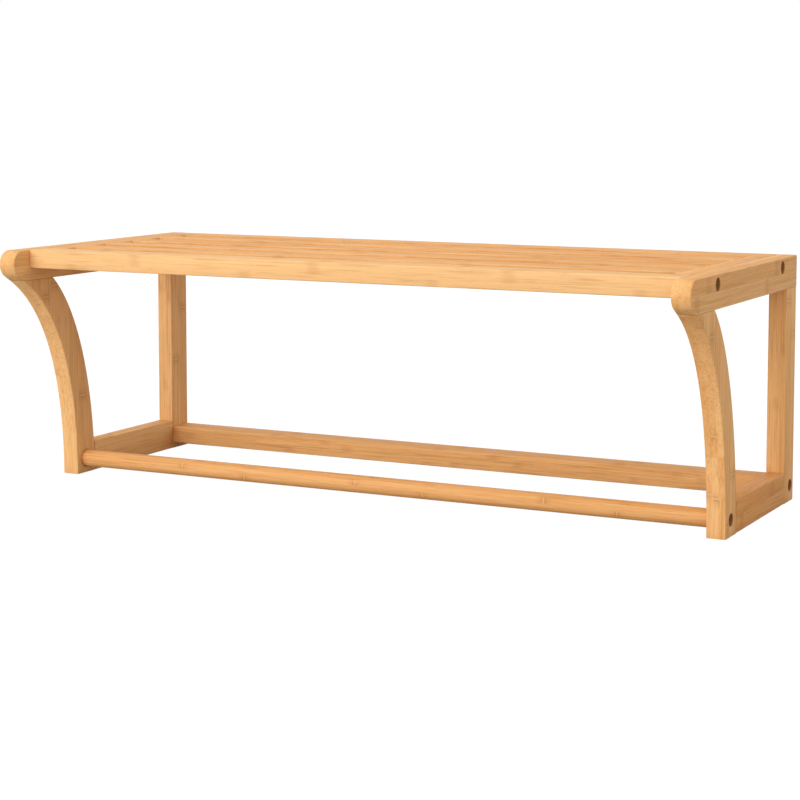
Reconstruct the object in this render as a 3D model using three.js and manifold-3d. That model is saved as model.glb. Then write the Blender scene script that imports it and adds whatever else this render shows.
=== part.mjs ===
// Bamboo wall shelf: a slatted deck between two side frames, with a round towel rail in front
// below it and a flat rail behind. Each side frame is a round-nosed top rail on a swept front
// leg and a straight rear post, tied by a lower rail. Everything is glued on hidden dowels and
// drawn up by screws sunk in counterbores on the outer faces.
//
// Millimetres. +X runs along the shelf, +Y points at the wall, +Z is up. The origin is the
// middle of the bounding box's bottom face. "Depth" below is measured back from the nose tip.
import * as THREE from "three";
import { mergeVertices } from "three/addons/utils/BufferGeometryUtils.js";
import Module from "manifold-3d";

// Overall sizes
const LENGTH = 600;
const DEPTH = 260;
const HEIGHT = 200;

// Bamboo stock: every flat piece is planed to this section
const STOCK_T = 15.2;
const STOCK_W = 25.5;

// Deck
const SLAT_COUNT = 6;
const DECK_SETBACK = 21.2; // nose tip to the front slat's face

// Swept front leg
const FOOT_SETBACK = 85; // nose tip to the front of the foot
const NECK_WIDTH = 41; // leg's width where it meets the top rail
const CHIN_SLOPE = THREE.MathUtils.degToRad(30); // front edge, below the nose
const NAPE_SLOPE = THREE.MathUtils.degToRad(41); // rear edge, at the neck
const CHIN_PULL = 0.328; // lengths of the curves' handles, as shares of the leg's height
const SHIN_PULL = 0.474;
const NAPE_PULL = 0.306;
const CALF_PULL = 0.363;
const NOSE_ROUNDING = 0.45; // nose radius as a share of the rail's height

// Lower rails
const ROD_D = 14.4;
const SOCKET_DEPTH = 3;
const REAR_SCREW_INSET = 8.7; // rear face of the post to its screw's axis

// Joints
const GLUE_LINE = 0.2;
const FIT = 0.3; // clearance on a bore's diameter
const END_ROOM = 1; // free depth beyond the end of a dowel or a screw
const DOWEL_D = 6;
const FRAME_DOWEL_DEPTH = 12;
const SIDE_DOWEL_DEPTH = 9; // into the thickness of a board
const DOWEL_SPACING = 11;
const BORE_WALL = 1.5; // least wood between two bores

// Screws
const CBORE_D = 10;
const CBORE_DEPTH = 7;
const HEAD_D = 8.8;
const HEAD_T = 3;
const HEAD_EDGE = 0.6; // chamfer round the top of the head
const SHANK_D = 4.2;
const TIP_LENGTH = 3;
const HEX_KEY = 4;
const HEX_DEPTH = 2;
const DECK_SCREW_LENGTH = 18; // under the head
const RAIL_SCREW_LENGTH = 38;

// Keyholes in the back of the posts
const KEYHOLE_DROP = 40; // underside of the top rail to the centre of the entry hole
const KEYHOLE_D = 8.6;
const KEYHOLE_DEPTH = 8;
const KEYHOLE_SLOT_W = 4.6;
const KEYHOLE_RISE = 9;
const KEYHOLE_LIP = 3;

// Fineness of the round surfaces, and how far a cutting tool starts outside the wood
const ROUND_SEGMENTS = 24;
const SMALL_SEGMENTS = 16;
const HEX_SIDES = 6;
const CURVE_STEPS = 20;
const OVERSHOOT = 1;
const MERGE_TOLERANCE = 1e-4;

// Derived places
const railBottom = HEIGHT - STOCK_W;
const legTop = railBottom - GLUE_LINE;
const lowerAxisZ = STOCK_W / 2;
const deckAxisZ = HEIGHT - STOCK_T / 2;
const noseRadius = NOSE_ROUNDING * STOCK_W;
const innerX = LENGTH / 2 - STOCK_T; // inner face of a side frame
const rear = DEPTH / 2;
const postFront = rear - STOCK_W;
const footAxisY = depthY(FOOT_SETBACK) + STOCK_W / 2;
const calfY = depthY(FOOT_SETBACK) + STOCK_W;
const slatPitch = (DEPTH - DECK_SETBACK - STOCK_W) / (SLAT_COUNT - 1);
const battenFront = slatAxisY(0) + STOCK_W / 2 + GLUE_LINE;
const battenRear = slatAxisY(SLAT_COUNT - 1) - STOCK_W / 2 - GLUE_LINE;
const battenInnerX = innerX - GLUE_LINE - STOCK_T;
const deckScrewYs = [battenFront + STOCK_W / 2, battenRear - STOCK_W / 2];
const rearScrewY = rear - REAR_SCREW_INSET;
const keyholeZ = railBottom - KEYHOLE_DROP;
const cboreWall = CBORE_D / 2 + BORE_WALL;
const calfDowelDepth = STOCK_W / 2 - cboreWall;
const postDowelDepth = STOCK_W - REAR_SCREW_INSET - cboreWall;

const wasm = await Module();
wasm.setup();

const finishes = {
  bamboo: { color: 0xdcaa70, roughness: 0.48, metalness: 0 },
  bambooRod: { color: 0xe0ac70, roughness: 0.45, metalness: 0 },
  beech: { color: 0xd8b58a, roughness: 0.7, metalness: 0 },
  blackSteel: { color: 0x2b2a28, roughness: 0.4, metalness: 0.9 },
};

// Y of a point that lies a given depth behind the nose tip.
function depthY(depth) {
  return depth - DEPTH / 2;
}

function slatAxisY(index) {
  return depthY(DECK_SETBACK + STOCK_W / 2 + index * slatPitch);
}

// ---- Solids -------------------------------------------------------------------------------

function solid(geometry) {
  geometry.deleteAttribute("normal");
  geometry.deleteAttribute("uv");
  const merged = mergeVertices(geometry, MERGE_TOLERANCE);
  return new wasm.Manifold(
    new wasm.Mesh({
      numProp: 3,
      vertProperties: merged.attributes.position.array,
      triVerts: new Uint32Array(merged.index.array),
    }),
  );
}

function geometryOf(body) {
  const { vertProperties, triVerts, numProp } = body.getMesh();
  const interleaved = new THREE.InterleavedBuffer(vertProperties, numProp);
  const geometry = new THREE.BufferGeometry();
  geometry.setAttribute("position", new THREE.InterleavedBufferAttribute(interleaved, 3, 0));
  geometry.setIndex(new THREE.BufferAttribute(triVerts, 1));
  const plain = geometry.toNonIndexed();
  plain.computeVertexNormals();
  return plain;
}

function piece(name, body, finish) {
  const mesh = new THREE.Mesh(geometryOf(body), new THREE.MeshStandardMaterial(finishes[finish]));
  mesh.name = name;
  return mesh;
}

// A box between two corners, given as [low, high] along each axis.
function block([x0, x1], [y0, y1], [z0, z1]) {
  const box = new THREE.BoxGeometry(x1 - x0, y1 - y0, z1 - z0);
  return solid(box.translate((x0 + x1) / 2, (y0 + y1) / 2, (z0 + z1) / 2));
}

const AXES = {
  x: new THREE.Vector3(1, 0, 0),
  y: new THREE.Vector3(0, 1, 0),
  z: new THREE.Vector3(0, 0, 1),
};

// A geometry made along +Y from its origin, turned to run from a point along an axis.
function aimed(geometry, from, axis, sign) {
  const direction = AXES[axis].clone().multiplyScalar(sign);
  const turn = new THREE.Quaternion().setFromUnitVectors(AXES.y, direction);
  return geometry.applyQuaternion(turn).translate(from[0], from[1], from[2]);
}

// A round bar or bore that starts at a point and runs along an axis.
function round(from, axis, sign, length, diameter, segments = SMALL_SEGMENTS) {
  const radius = diameter / 2;
  const cylinder = new THREE.CylinderGeometry(radius, radius, length, segments);
  return solid(aimed(cylinder.translate(0, length / 2, 0), from, axis, sign));
}

// A board cut to an outline in the YZ plane, from one X to another.
function boardFrom(outline, x0, x1) {
  const board = new THREE.ExtrudeGeometry(outline, {
    depth: x1 - x0,
    bevelEnabled: false,
    curveSegments: CURVE_STEPS,
  });
  const upright = new THREE.Matrix4().makeBasis(AXES.y, AXES.z, AXES.x);
  return solid(board.applyMatrix4(upright).translate(x0, 0, 0));
}

function cut(body, tools) {
  return tools.reduce((rest, tool) => rest.subtract(tool), body);
}

// ---- Joints -------------------------------------------------------------------------------

// A dowel that crosses a glue line, and the bore that it needs on each side of it. The face
// point lies on the glue line; depths are measured from there, back and forward along the axis.
function dowelJoint(face, axis, backDepth, forwardDepth) {
  const shifted = (distance) => {
    const point = [...face];
    point["xyz".indexOf(axis)] += distance;
    return point;
  };
  const bore = DOWEL_D + FIT;
  const whole = backDepth + forwardDepth;
  return {
    dowel: round(shifted(-backDepth), axis, 1, whole, DOWEL_D),
    bore: round(shifted(-backDepth - END_ROOM), axis, 1, whole + 2 * END_ROOM, bore),
  };
}

// Depth of a screw's tip below the outer face of a side frame.
function screwReach(length) {
  return CBORE_DEPTH + length;
}

// Counterbore and clearance hole for a screw that enters a side frame from outside.
function screwHole(side, y, z, length) {
  const outer = (side * LENGTH) / 2;
  const mouth = [outer + side * OVERSHOOT, y, z];
  const depth = CBORE_DEPTH + OVERSHOOT;
  const counterbore = round(mouth, "x", -side, depth, CBORE_D, ROUND_SEGMENTS);
  const clearance = round([outer, y, z], "x", -side, screwReach(length) + END_ROOM, SHANK_D + FIT);
  return counterbore.add(clearance);
}

// A round-headed furniture screw with a hex socket, seated at the bottom of its counterbore.
function screw(name, side, y, z, length) {
  const profile = [
    [0, 0],
    [HEAD_D / 2 - HEAD_EDGE, 0],
    [HEAD_D / 2, HEAD_EDGE],
    [HEAD_D / 2, HEAD_T],
    [SHANK_D / 2, HEAD_T],
    [SHANK_D / 2, HEAD_T + length - TIP_LENGTH],
    [0, HEAD_T + length],
  ].map(([radius, along]) => new THREE.Vector2(radius, along));
  const seat = (side * LENGTH) / 2 - side * (CBORE_DEPTH - HEAD_T - GLUE_LINE);
  const turned = aimed(new THREE.LatheGeometry(profile, SMALL_SEGMENTS), [seat, y, z], "x", -side);
  const acrossCorners = HEX_KEY / Math.cos(Math.PI / HEX_SIDES);
  const mouth = [seat + side * OVERSHOOT, y, z];
  const socket = round(mouth, "x", -side, HEX_DEPTH + OVERSHOOT, acrossCorners, HEX_SIDES);
  return piece(name, solid(turned).subtract(socket), "blackSteel");
}

// ---- Side frame ---------------------------------------------------------------------------

const nose = new THREE.Vector2(depthY(noseRadius), HEIGHT - noseRadius);
const chinAngle = Math.PI / 2 - CHIN_SLOPE; // from the nose's centre line down to the chin
const chinStart = new THREE.Vector2(
  nose.x - noseRadius * Math.cos(chinAngle),
  nose.y - noseRadius * Math.sin(chinAngle),
);
// The straight run of the chin goes on through the glue line into the leg.
const chinYAt = (z) => chinStart.x + (chinStart.y - z) / Math.tan(CHIN_SLOPE);
const neckFront = chinYAt(legTop);
const neckRear = neckFront + NECK_WIDTH;

function curveDown(startY, slope, pull, endY, endPull) {
  const handle = pull * legTop;
  return new THREE.CubicBezierCurve(
    new THREE.Vector2(startY, legTop),
    new THREE.Vector2(startY + handle * Math.cos(slope), legTop - handle * Math.sin(slope)),
    new THREE.Vector2(endY, endPull * legTop),
    new THREE.Vector2(endY, 0),
  );
}
const shin = curveDown(neckFront, CHIN_SLOPE, CHIN_PULL, depthY(FOOT_SETBACK), SHIN_PULL);
const calf = curveDown(neckRear, NAPE_SLOPE, NAPE_PULL, calfY, CALF_PULL);

// Y of the leg's front edge at a height, read off its curve.
function shinYAt(z) {
  const points = shin.getPoints(CURVE_STEPS);
  const below = points.findIndex((point) => point.y <= z);
  const [a, b] = [points[below - 1], points[below]];
  return a.x + ((a.y - z) / (a.y - b.y)) * (b.x - a.x);
}

function railOutline() {
  const outline = new THREE.Shape();
  outline.moveTo(chinYAt(railBottom), railBottom);
  outline.lineTo(rear, railBottom);
  outline.lineTo(rear, HEIGHT);
  outline.lineTo(nose.x, HEIGHT);
  outline.absarc(nose.x, nose.y, noseRadius, Math.PI / 2, Math.PI + chinAngle, false);
  outline.closePath();
  return outline;
}

function legOutline() {
  const front = shin.getPoints(CURVE_STEPS);
  const back = calf.getPoints(CURVE_STEPS).reverse();
  return new THREE.Shape([...front, ...back]);
}

// Depths of a dowel below X and above it, for one that runs from the end of a deck slat out
// into the thickness of the board beside it.
function endDepths(side) {
  const depths = [FRAME_DOWEL_DEPTH, SIDE_DOWEL_DEPTH];
  return side > 0 ? depths : depths.reverse();
}

// The dowels of one side frame: two at the neck, two on the post, one at each end of the
// lower rail, and one for each deck edge slat.
function frameJoints(side) {
  const x = side * (LENGTH / 2 - STOCK_T / 2);
  const inner = side * innerX;
  const neckSafe = shinYAt(legTop - FRAME_DOWEL_DEPTH - END_ROOM);
  const pair = (centre) => [centre - DOWEL_SPACING / 2, centre + DOWEL_SPACING / 2];
  const upright = (y) => dowelJoint([x, y, railBottom], "z", FRAME_DOWEL_DEPTH, FRAME_DOWEL_DEPTH);
  const level = (y) => dowelJoint([inner, y, deckAxisZ], "x", ...endDepths(side));
  return {
    neck: pair((neckSafe + neckRear) / 2).map(upright),
    post: pair(rear - STOCK_W / 2).map(upright),
    calf: [dowelJoint([x, calfY, lowerAxisZ], "y", calfDowelDepth, FRAME_DOWEL_DEPTH)],
    heel: [dowelJoint([x, postFront, lowerAxisZ], "y", FRAME_DOWEL_DEPTH, postDowelDepth)],
    deck: [slatAxisY(0), slatAxisY(SLAT_COUNT - 1)].map(level),
  };
}

// A routed keyhole: an entry hole, and a slot above it that is wider behind its lip.
function keyhole(side) {
  const x = side * (LENGTH / 2 - STOCK_T / 2);
  const back = rear + OVERSHOOT;
  const depth = KEYHOLE_DEPTH + OVERSHOOT;
  const across = (width) => [x - width / 2, x + width / 2];
  const top = keyholeZ + KEYHOLE_RISE;
  const rise = [keyholeZ, top];
  const undercut = [rear - KEYHOLE_DEPTH, rear - KEYHOLE_LIP];
  return [
    round([x, back, keyholeZ], "y", -1, depth, KEYHOLE_D, ROUND_SEGMENTS),
    block(across(KEYHOLE_SLOT_W), [rear - KEYHOLE_DEPTH, back], rise),
    round([x, back, top], "y", -1, depth, KEYHOLE_SLOT_W),
    block(across(KEYHOLE_D), undercut, rise),
    round([x, undercut[1], top], "y", -1, KEYHOLE_DEPTH - KEYHOLE_LIP, KEYHOLE_D, ROUND_SEGMENTS),
  ];
}

function sideFrame(label, side) {
  const frame = new THREE.Group();
  const xs = [innerX, LENGTH / 2].map((x) => side * x).sort((a, b) => a - b);
  const joints = frameJoints(side);
  const bores = (key) => joints[key].map((joint) => joint.bore);
  const inner = side * innerX;

  const deckHoles = deckScrewYs.map((y) => screwHole(side, y, deckAxisZ, DECK_SCREW_LENGTH));
  const rodHole = screwHole(side, footAxisY, lowerAxisZ, RAIL_SCREW_LENGTH);
  const rearHole = screwHole(side, rearScrewY, lowerAxisZ, RAIL_SCREW_LENGTH);
  const socketMouth = [inner - side * OVERSHOOT, footAxisY, lowerAxisZ];
  const socketDepth = SOCKET_DEPTH + OVERSHOOT;
  const socket = round(socketMouth, "x", side, socketDepth, ROD_D + FIT, ROUND_SEGMENTS);

  const rail = cut(boardFrom(railOutline(), ...xs), [
    ...bores("neck"),
    ...bores("post"),
    ...bores("deck"),
    ...deckHoles,
  ]);
  const leg = cut(boardFrom(legOutline(), ...xs), [...bores("neck"), ...bores("calf"), rodHole, socket]);
  const post = cut(block(xs, [postFront, rear], [0, legTop]), [
    ...bores("post"),
    ...bores("heel"),
    rearHole,
    ...keyhole(side),
  ]);
  const lowerYs = [calfY + GLUE_LINE, postFront - GLUE_LINE];
  const lower = cut(block(xs, lowerYs, [0, STOCK_W]), [...bores("calf"), ...bores("heel")]);

  frame.add(
    piece(`${label}_top_rail`, rail, "bamboo"),
    piece(`${label}_front_leg`, leg, "bamboo"),
    piece(`${label}_rear_post`, post, "bamboo"),
    piece(`${label}_lower_rail`, lower, "bamboo"),
    screw(`${label}_front_deck_screw`, side, deckScrewYs[0], deckAxisZ, DECK_SCREW_LENGTH),
    screw(`${label}_rear_deck_screw`, side, deckScrewYs[1], deckAxisZ, DECK_SCREW_LENGTH),
    screw(`${label}_towel_rail_screw`, side, footAxisY, lowerAxisZ, RAIL_SCREW_LENGTH),
    screw(`${label}_rear_rail_screw`, side, rearScrewY, lowerAxisZ, RAIL_SCREW_LENGTH),
  );
  for (const [place, made] of Object.entries(joints))
    made.forEach(({ dowel }, index) =>
      frame.add(piece(`${label}_${place}_dowel_${index + 1}`, dowel, "beech")),
    );
  return frame;
}

// ---- Deck ---------------------------------------------------------------------------------

// A dowel from a batten into the end of a slat.
function slatJoint(side, y) {
  return dowelJoint([side * battenInnerX, y, deckAxisZ], "x", ...endDepths(side));
}

function slat(name, index, halfLength, bores) {
  const y = slatAxisY(index);
  const body = block(
    [-halfLength, halfLength],
    [y - STOCK_W / 2, y + STOCK_W / 2],
    [HEIGHT - STOCK_T, HEIGHT],
  );
  return piece(name, cut(body, bores), "bamboo");
}

function deck() {
  const group = new THREE.Group();
  const sides = { left: -1, right: 1 };
  const edgeBores = (which) => Object.values(sides).map((side) => frameJoints(side).deck[which].bore);
  const edgeHalf = innerX - GLUE_LINE;
  group.add(
    slat("front_slat", 0, edgeHalf, edgeBores(0)),
    slat("rear_slat", SLAT_COUNT - 1, edgeHalf, edgeBores(1)),
  );

  const between = Array.from({ length: SLAT_COUNT - 2 }, (_, index) => index + 1);
  for (const index of between) {
    const bores = Object.values(sides).map((side) => slatJoint(side, slatAxisY(index)).bore);
    group.add(slat(`deck_slat_${index + 1}`, index, battenInnerX - GLUE_LINE, bores));
  }

  for (const [label, side] of Object.entries(sides)) {
    const joints = between.map((index) => slatJoint(side, slatAxisY(index)));
    const xs = [battenInnerX, innerX - GLUE_LINE].map((x) => side * x).sort((a, b) => a - b);
    const batten = cut(block(xs, [battenFront, battenRear], [HEIGHT - STOCK_T, HEIGHT]), [
      ...joints.map((joint) => joint.bore),
      ...deckScrewYs.map((y) => screwHole(side, y, deckAxisZ, DECK_SCREW_LENGTH)),
    ]);
    group.add(piece(`${label}_deck_batten`, batten, "bamboo"));
    joints.forEach(({ dowel }, order) =>
      group.add(piece(`${label}_slat_dowel_${between[order] + 1}`, dowel, "beech")),
    );
  }
  return group;
}

// ---- Lower rails --------------------------------------------------------------------------

function towelRail() {
  const half = innerX + SOCKET_DEPTH - GLUE_LINE;
  const bar = round([-half, footAxisY, lowerAxisZ], "x", 1, 2 * half, ROD_D, ROUND_SEGMENTS);
  const pilots = [-1, 1].map((side) => screwHole(side, footAxisY, lowerAxisZ, RAIL_SCREW_LENGTH));
  return piece("towel_rail", cut(bar, pilots), "bambooRod");
}

function rearLowerRail() {
  const half = innerX - GLUE_LINE;
  const heights = [lowerAxisZ - STOCK_T / 2, lowerAxisZ + STOCK_T / 2];
  const pilots = [-1, 1].map((side) => screwHole(side, rearScrewY, lowerAxisZ, RAIL_SCREW_LENGTH));
  return piece("rear_lower_rail", cut(block([-half, half], [postFront, rear], heights), pilots), "bamboo");
}

const shelf = new THREE.Group();
shelf.add(sideFrame("left", -1), sideFrame("right", 1), deck(), towelRail(), rearLowerRail());

export default shelf;
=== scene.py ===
"""Bamboo wall shelf: the looks of its boards, round rail, screws and dowels, built around the
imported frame, with a plain studio to see it in. Metres, +Z up, +Y towards the wall.
"""

import math
from functools import cache

import bpy
from bpy.props import (
    FloatProperty,
    FloatVectorProperty,
    IntProperty,
    PointerProperty,
    StringProperty,
)
from mathutils import Euler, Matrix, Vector


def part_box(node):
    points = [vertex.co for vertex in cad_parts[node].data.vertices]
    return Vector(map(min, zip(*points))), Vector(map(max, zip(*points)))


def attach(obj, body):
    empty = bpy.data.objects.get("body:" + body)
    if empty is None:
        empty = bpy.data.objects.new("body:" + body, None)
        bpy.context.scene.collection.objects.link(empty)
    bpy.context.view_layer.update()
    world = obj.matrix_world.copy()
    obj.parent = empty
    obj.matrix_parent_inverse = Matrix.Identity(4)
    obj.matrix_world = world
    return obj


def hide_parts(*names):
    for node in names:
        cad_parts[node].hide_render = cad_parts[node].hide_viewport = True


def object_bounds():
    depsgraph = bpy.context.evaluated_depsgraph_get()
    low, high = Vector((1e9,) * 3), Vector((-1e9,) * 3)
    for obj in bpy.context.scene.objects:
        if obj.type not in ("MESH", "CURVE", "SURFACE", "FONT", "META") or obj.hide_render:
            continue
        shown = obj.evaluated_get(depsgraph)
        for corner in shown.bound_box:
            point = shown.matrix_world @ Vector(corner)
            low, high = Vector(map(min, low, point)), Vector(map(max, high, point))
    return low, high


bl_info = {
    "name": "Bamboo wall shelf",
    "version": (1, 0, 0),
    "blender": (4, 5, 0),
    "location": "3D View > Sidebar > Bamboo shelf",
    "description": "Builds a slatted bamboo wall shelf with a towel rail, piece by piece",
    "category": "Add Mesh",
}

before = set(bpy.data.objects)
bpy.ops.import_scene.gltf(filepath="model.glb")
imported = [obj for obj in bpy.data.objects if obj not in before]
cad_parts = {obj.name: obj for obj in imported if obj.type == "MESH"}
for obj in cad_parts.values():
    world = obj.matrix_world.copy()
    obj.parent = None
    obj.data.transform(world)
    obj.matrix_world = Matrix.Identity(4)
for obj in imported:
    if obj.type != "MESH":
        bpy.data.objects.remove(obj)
cad_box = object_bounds()

MM = 0.001
OVERSHOOT = 1 * MM  # how far a cutting tool stands out of the face that it enters
AXES = {"X": Vector((1, 0, 0)), "Y": Vector((0, 1, 0)), "Z": Vector((0, 0, 1))}
CLOSE = 0.02 * MM  # two places nearer than this are the same place
CUT_CRUMB = 0.005 * MM  # points that a cut leaves nearer than this are merged
PLY_COUNT = 3  # bamboo layers glued through a board's thickness
STRIP_COUNT = 2  # bamboo strips glued side by side across a board's width

# A front leg's front edge (the shin) and rear edge (the calf) are curves between the top rail
# and the foot. Each curve's two handles are as long as these shares of the leg's height.
NECK_WIDTH = 41 * MM  # a front leg's width where it meets the top rail
SHIN_PULLS = (0.328, 0.474)
CALF_PULLS = (0.306, 0.363)
LEG_STEPS = 40
CURVE_HALVINGS = 40  # enough to find a height on a curve to the last digit
NOSE_STEPS = 24
CHIN_STEPS = 16

KEYHOLE_DROP = 40 * MM  # underside of the top rail to the centre of the keyhole's entry
RAIL_JOINT = 0.2 * MM  # glue line between the top rail and the post
KEYHOLE_RISE = 9 * MM
KEYHOLE_DEPTH = 8 * MM
KEYHOLE_LIP = 3 * MM
KEYHOLE_ENTRY_RADIUS = 4.3 * MM
KEYHOLE_SLOT_RADIUS = 2.3 * MM

SCREW_HEAD_DEPTH = 3 * MM
SCREW_HEAD_ROUNDING = 0.6 * MM
SCREW_SHANK_RADIUS = 2.1 * MM
SCREW_TIP = 3 * MM
SCREW_TIP_SHARE = 0.04  # the point's width, as a share of the shank's
HEX_KEY = 4 * MM  # across the flats
HEX_DEPTH = 2 * MM

ROD_CHAMFER = 0.6 * MM
DOWEL_CHAMFER = 0.7 * MM
FLUTE_DEPTH = 0.22 * MM
FLUTE_INSET = 0.08 * MM
FLUTE_SPACING = 4  # faces round a dowel from one flute to the next

ROD_SIDES = 72
ROUND_SIDES = 48
HOLE_SIDES = 32
SOCKET_SIDES = 64

JOINT_EASING_STEPS = 2
SMOOTH_ANGLE = math.radians(35)
END_FACE = 0.9  # a face whose normal leans this far along an axis closes that end

# How far each board's counts of the grain start from the last one's: metres, strips, layers
GRAIN_STARTS = (0.377, 7, 11)

FLOOR_SIZE = 40
SENSOR_WIDTH = 36  # millimetres
LIGHT_SIZE = 4  # metres along the side of a softbox
LIGHT_TARGET = (0, 0, 0.1)
FRONT_LIGHT_PLACE = (-1.6, -5.6, 1.9)
TOP_LIGHT_PLACE = (-0.6, -1.4, 5.0)
BACKLIGHT_SHARE = 0.85  # how much of the paper's own light shows when it is seen directly

# How strongly each part of the bamboo's figure shows in its colour, as shares
TONE_SHARE, BANDS_SHARE, FIBRES_SHARE = 0.2, 0.5, 0.7
BLUSH_SHARE, WARM_BLUSH_SHARE = 0.25, 0.25  # on every strip, and more on the warmest ones
THREADS_SHARE, DASHES_SHARE, SEAM_SHARE = 0.28, 0.24, 0.05
SHADE_SHARE, STROKE_SHARE, RIDGE_SHARE = 0.18, 0.32, 0.18
# How strongly the counterbores' walls and floors are darkened with painted shade
COUNTERBORE_SHADE_SHARE = 0.7

# How far single boards lean from the common tone: -1 is all bleached, 1 all caramel
BOARD_TONES = {
    "front_slat": -0.5,
    "left_front_leg": -0.25,
    "left_rear_post": -0.25,
    "right_rear_post": -0.15,
    "right_top_rail": -0.1,
    "left_top_rail": -0.15,
    "left_lower_rail": -0.2,
    "rear_lower_rail": -0.15,
    "right_front_leg": -0.1,
    "right_lower_rail": 0.4,
    "towel_rail": 0.2,
}


# ---- Sizes and colours a user would change ----------------------------------------------------


class ShelfSizes(bpy.types.PropertyGroup):
    """Sizes of the finishing work on the boards"""

    easing: FloatProperty(
        name="Edge easing",
        description="Radius of the rounded long edges",
        default=1.0 * MM,
        unit="LENGTH",
    )
    joint_easing: FloatProperty(
        name="Joint easing",
        description="Radius left on the rims that meet another board",
        default=0.25 * MM,
        unit="LENGTH",
    )
    easing_steps: IntProperty(
        name="Easing steps",
        description="Faces round a rounded long edge",
        default=4,
    )
    nose_radius: FloatProperty(
        name="Nose radius",
        description="Radius of the top rails' round front ends",
        default=11.475 * MM,
        unit="LENGTH",
    )
    chin_slope: FloatProperty(
        name="Chin slope",
        description="Fall of the straight run under the nose",
        default=math.radians(30),
        unit="ROTATION",
    )
    nape_slope: FloatProperty(
        name="Nape slope",
        description="Fall of the leg's rear edge where it leaves the top rail",
        default=math.radians(41),
        unit="ROTATION",
    )
    counterbore: FloatProperty(
        name="Counterbore",
        description="Diameter of the holes that the screw heads sink into",
        default=10 * MM,
        unit="LENGTH",
    )
    counterbore_depth: FloatProperty(
        name="Counterbore depth",
        description="Depth of the holes that the screw heads sink into",
        default=7 * MM,
        unit="LENGTH",
    )
    mouth_chamfer: FloatProperty(
        name="Mouth chamfer",
        description="Width of the chamfer round a drilled hole's mouth",
        default=0.4 * MM,
        unit="LENGTH",
    )
    clearance_hole: FloatProperty(
        name="Clearance hole",
        description="Diameter of the hole for a screw's shank",
        default=4.5 * MM,
        unit="LENGTH",
    )
    socket_depth: FloatProperty(
        name="Rail socket depth",
        description="How far the round rail sits in each leg",
        default=3 * MM,
        unit="LENGTH",
    )
    socket_gap: FloatProperty(
        name="Rail socket gap",
        description="Clearance round the rail in its socket",
        default=0.45 * MM,
        unit="LENGTH",
    )


class BambooFinish(bpy.types.PropertyGroup):
    """Colours and figure of the lacquered bamboo"""

    pale: StringProperty(
        name="Pale strip",
        description="sRGB colour of the palest bamboo strips",
        default="#F0BA7C",
    )
    deep: StringProperty(
        name="Deep strip",
        description="sRGB colour of the deepest bamboo strips",
        default="#D79855",
    )
    fibre: StringProperty(
        name="Fibre",
        description="sRGB colour of the dark fibres and the culm's nodes",
        default="#9E5E28",
    )
    blush: StringProperty(
        name="Blush",
        description="sRGB colour of the warm pink streaks",
        default="#E39A5E",
    )
    bleached: StringProperty(
        name="Bleached board",
        description="sRGB colour that the palest boards lean to",
        default="#FBD196",
    )
    caramel: StringProperty(
        name="Caramel board",
        description="sRGB colour that the deepest boards lean to",
        default="#CF8846",
    )
    # Painted shade: this colour darkens the walls and floors of the counterbores
    drilled: StringProperty(
        name="Drilled wall",
        description="sRGB colour of a drilled hole's wall, which drinks in the lacquer",
        default="#8A5630",
    )
    node_spacing: FloatProperty(
        name="Node spacing",
        description="Distance between the culm's nodes along a strip",
        default=166 * MM,
        unit="LENGTH",
    )
    roughness: FloatProperty(
        name="Roughness",
        description="Roughness of the satin lacquer",
        default=0.6,
        subtype="FACTOR",
    )


class StudioSettings(bpy.types.PropertyGroup):
    """Camera and lights"""

    camera_place: FloatVectorProperty(
        name="Camera place",
        description="Where the camera stands",
        default=(0.7673, -1.4940, 0.3301),
        subtype="TRANSLATION",
    )
    camera_yaw: FloatProperty(
        name="Camera yaw",
        description="How far the camera is turned from looking along +Y, to the left",
        default=0.4711,
        unit="ROTATION",
    )
    camera_pitch: FloatProperty(
        name="Camera pitch",
        description="How far the camera looks down",
        default=0.0905,
        unit="ROTATION",
    )
    lens: FloatProperty(
        name="Lens",
        description="Focal length on a 36 mm wide sensor",
        default=92.69,
        unit="CAMERA",
    )
    lens_shift: FloatProperty(
        name="Lens shift",
        description="Vertical shift of the picture, as a share of its width",
        default=-0.15,
    )
    sky: FloatProperty(
        name="Sky",
        description="Strength of the even white light from all round",
        default=0.9,
    )
    front_light: FloatProperty(
        name="Front light",
        description="Power of the large soft light in front, to the left",
        default=194,
        unit="POWER",
    )
    top_light: FloatProperty(
        name="Top light",
        description="Power of the large soft light above",
        default=18,
        unit="POWER",
    )


# ---- Mesh work --------------------------------------------------------------------------------


def deselect():
    """Leaves nothing selected, in object mode."""
    if bpy.context.mode != "OBJECT":
        bpy.ops.object.mode_set(mode="OBJECT")
    bpy.ops.object.select_all(action="DESELECT")


def only(piece):
    """Makes one piece the selected and active one."""
    deselect()
    piece.select_set(True)
    bpy.context.view_layer.objects.active = piece


def settle(piece, name):
    """Moves a new piece's place into its mesh and names it."""
    only(piece)
    bpy.ops.object.transform_apply(location=True, rotation=True, scale=True)
    piece.name = name
    piece.data.name = name
    return piece


def add_board(name, low, high):
    deselect()
    size = high - low
    bpy.ops.mesh.primitive_cube_add(size=1, location=(low + high) / 2, scale=size)
    return settle(bpy.context.object, name)


def facing(axis, sign=1):
    """The turn that stands a primitive's own +Z along an axis."""
    return (AXES[axis] * sign).to_track_quat("Z", "Y").to_euler()


def add_round(name, start, axis, sign, length, radius, sides=ROUND_SIDES, end_radius=None):
    """A round bar, or a cone where end_radius is given, from a point along an axis."""
    deselect()
    bpy.ops.mesh.primitive_cone_add(
        vertices=sides,
        radius1=radius,
        radius2=radius if end_radius is None else end_radius,
        depth=length,
        location=start + AXES[axis] * sign * length / 2,
        rotation=facing(axis, sign),
    )
    return settle(bpy.context.object, name)


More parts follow.
